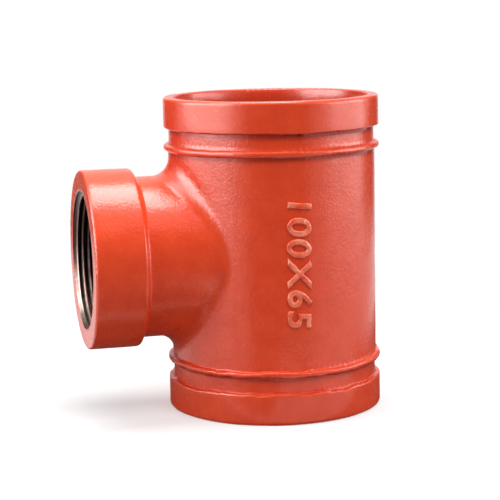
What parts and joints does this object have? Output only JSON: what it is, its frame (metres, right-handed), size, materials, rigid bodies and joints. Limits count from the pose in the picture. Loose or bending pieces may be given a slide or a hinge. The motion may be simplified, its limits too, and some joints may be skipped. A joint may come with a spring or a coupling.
{
  "type": "grooved reducing tee",
  "caption": "Cast standpipe tee with a straight run, grooved at both ends, and a smaller collared branch with a female pipe thread, painted orange-red.",
  "frame": {"origin": "where the axis of the run crosses the axis of the branch, halfway along the run", "axes": "+Z along the run, up as the picture shows it; -X out of the threaded branch; +Y completes the right-handed frame"},
  "size_m": [0.1603, 0.1146, 0.166],
  "materials": {
    "painted_iron": "gloss"
  },
  "bodies": {
    "root": {"tee_casting": "painted_iron"}
  },
  "joints": []
}
